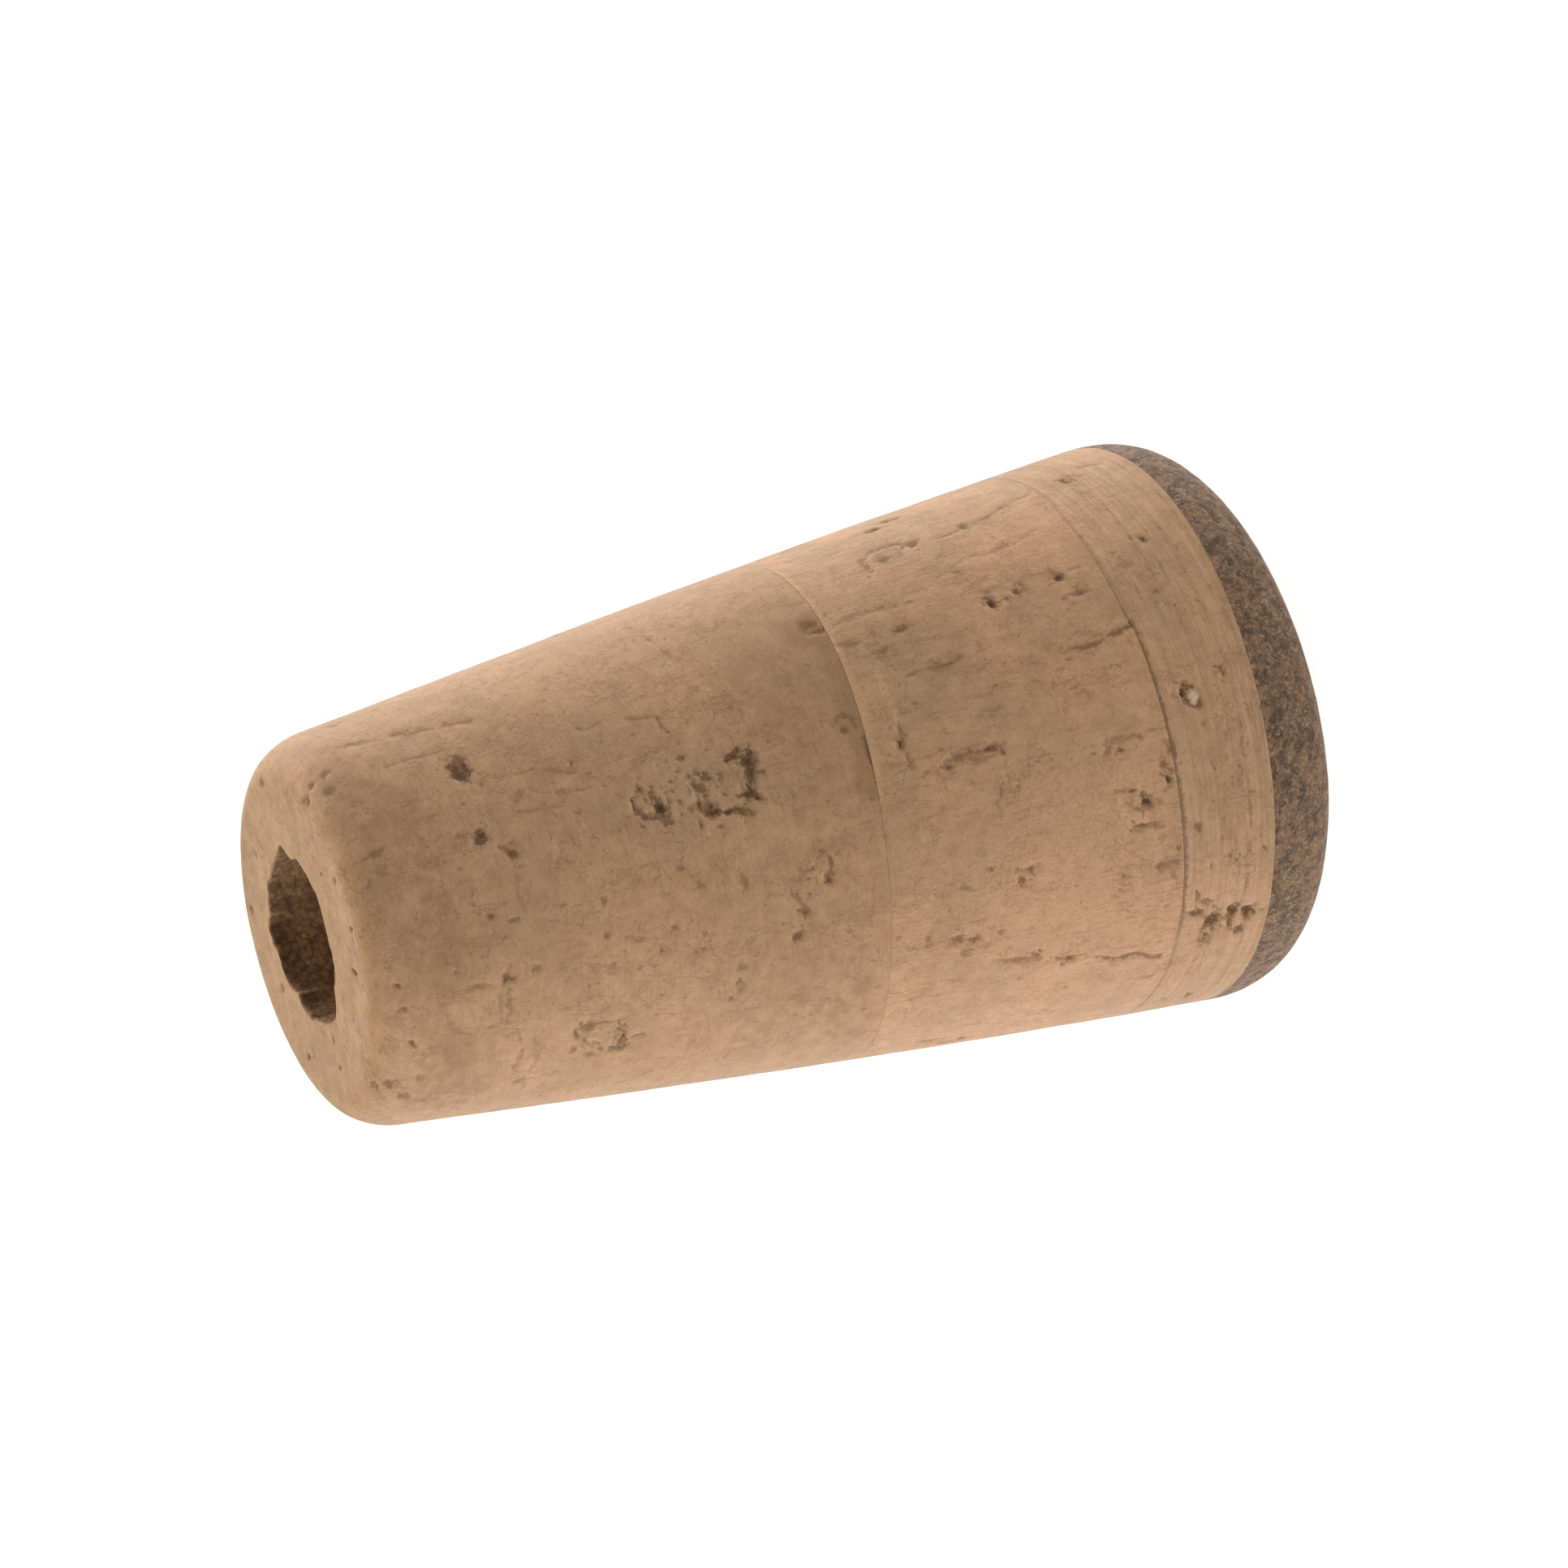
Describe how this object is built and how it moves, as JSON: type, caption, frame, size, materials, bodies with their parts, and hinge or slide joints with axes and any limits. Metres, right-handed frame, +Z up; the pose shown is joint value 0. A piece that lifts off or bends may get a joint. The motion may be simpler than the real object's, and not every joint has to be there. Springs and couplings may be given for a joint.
{
  "type": "cork pen holder",
  "caption": "Tapered round cork holder turned from glued cork rings, with a dark rubberised end ring and a bore from end to end.",
  "frame": {"origin": "middle of the lower face, where the dark end ring rests on the table", "axes": "+Z up the bore from the wide dark end to the narrow end; the part is round, so +X and +Y are any two square directions"},
  "size_m": [0.0296, 0.0296, 0.05],
  "materials": {
    "rubberised_cork": "sanded matte granules",
    "thin_ring_cork": "sanded natural cork, growth lines around the ring",
    "rear_ring_cork": "sanded natural cork, pores along the bore",
    "nose_cork": "sanded natural cork, pores seen end on"
  },
  "bodies": {
    "root": {"rubber_cork_base": "rubberised_cork", "thin_cork_ring": "thin_ring_cork", "rear_cork_ring": "rear_ring_cork", "tapered_cork_nose": "nose_cork"}
  },
  "joints": []
}
